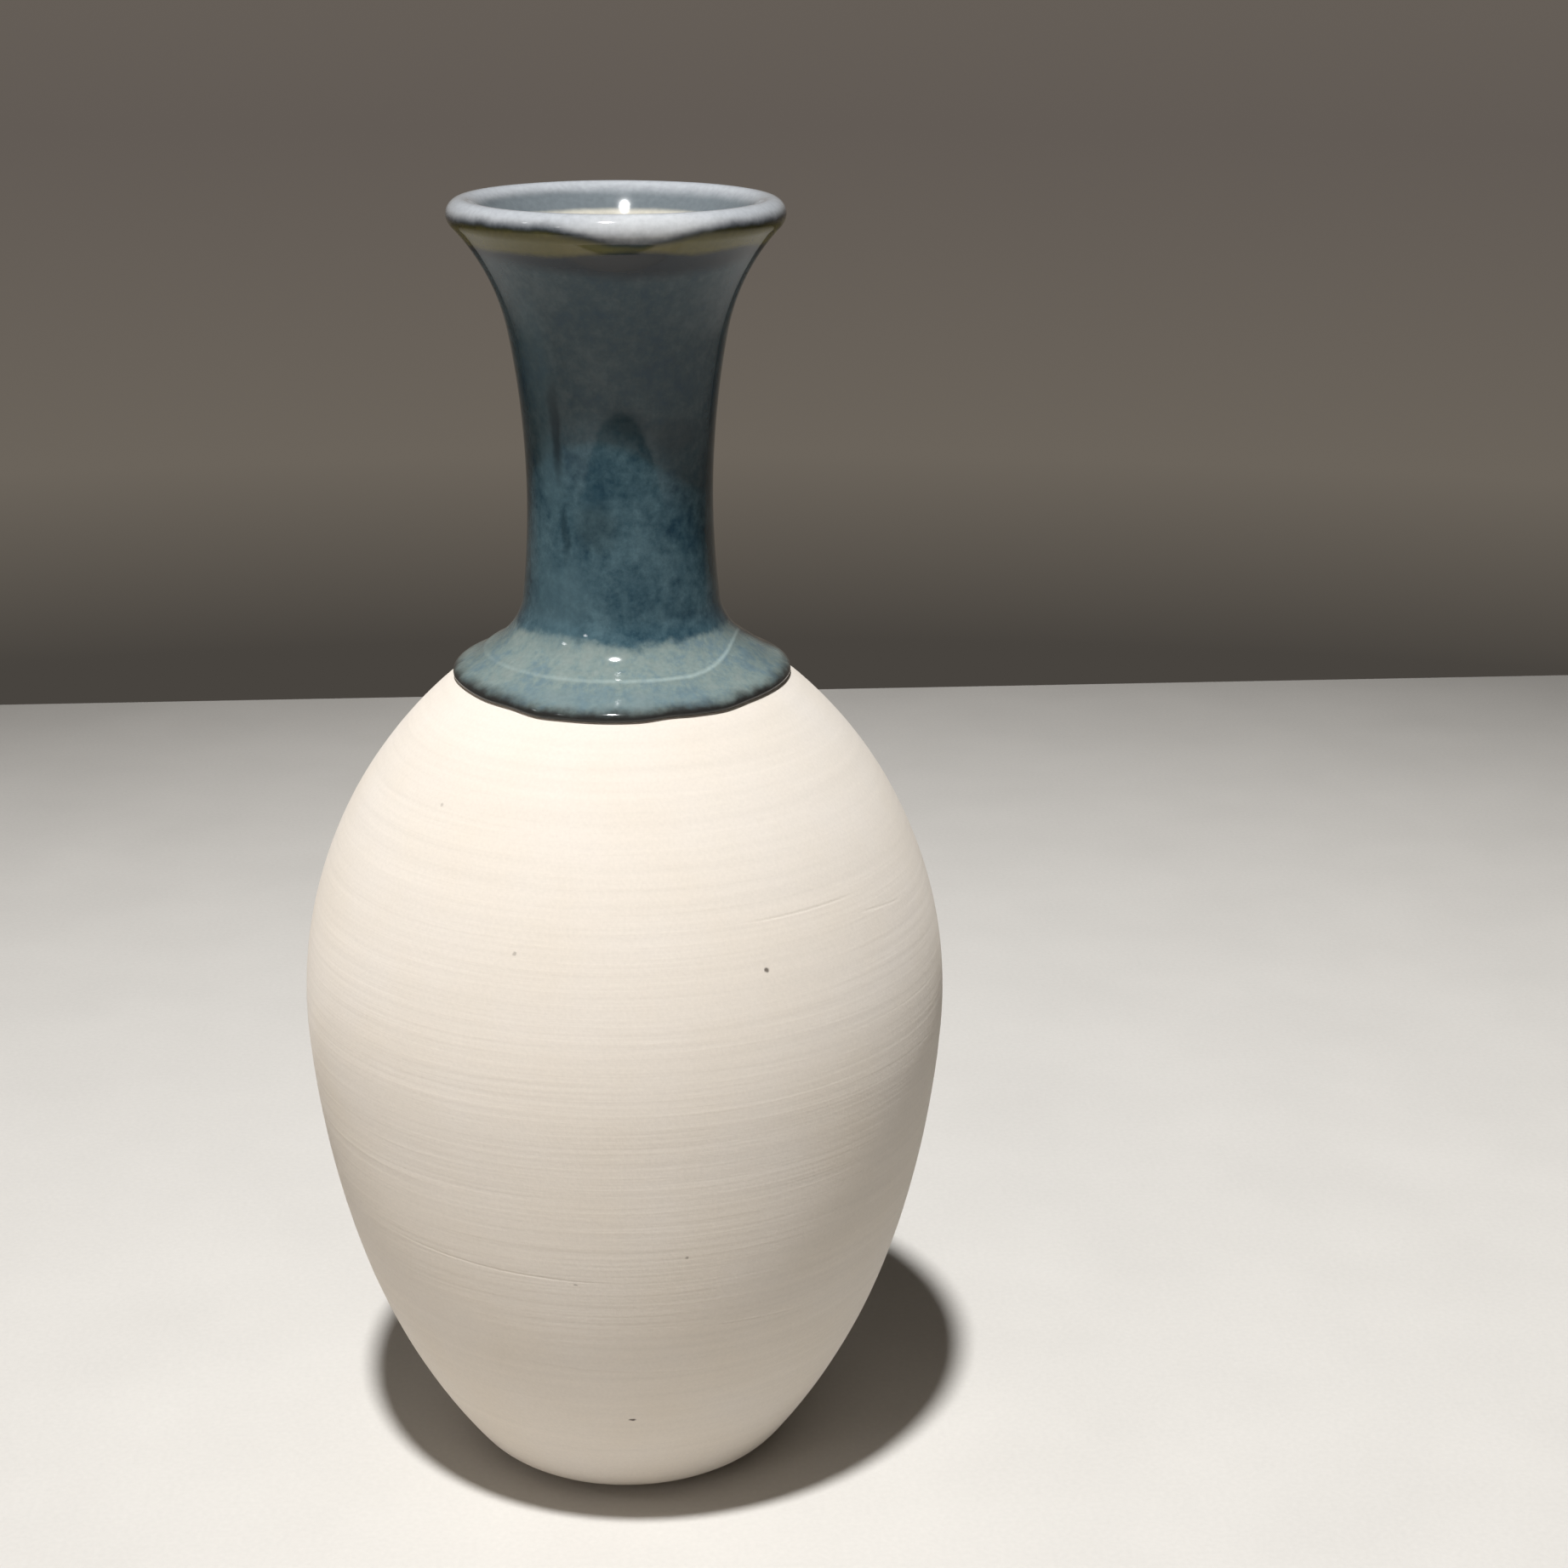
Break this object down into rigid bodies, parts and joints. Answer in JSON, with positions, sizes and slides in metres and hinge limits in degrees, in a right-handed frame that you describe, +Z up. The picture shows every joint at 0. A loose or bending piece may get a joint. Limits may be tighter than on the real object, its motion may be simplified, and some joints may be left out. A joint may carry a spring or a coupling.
{
  "type": "bud vase",
  "caption": "Thrown ceramic bud vase: egg-shaped bare clay belly, narrow blue-glazed neck, flared milky lip, glazed inside to hold water and a single stem.",
  "frame": {"origin": "centre of the foot, on the surface the vase stands on", "axes": "+Z up along the vase's axis; the vase is round, so X and Y are alike"},
  "size_m": [0.09, 0.09, 0.1805],
  "materials": {
    "bare_stoneware": "matte",
    "blue_glaze": "gloss",
    "milky_glaze": "gloss",
    "liner_glaze": "gloss"
  },
  "bodies": {
    "root": {"clay_body": "bare_stoneware", "neck_glaze": "blue_glaze", "lip_glaze": "milky_glaze", "liner_glaze": "liner_glaze"}
  },
  "joints": []
}
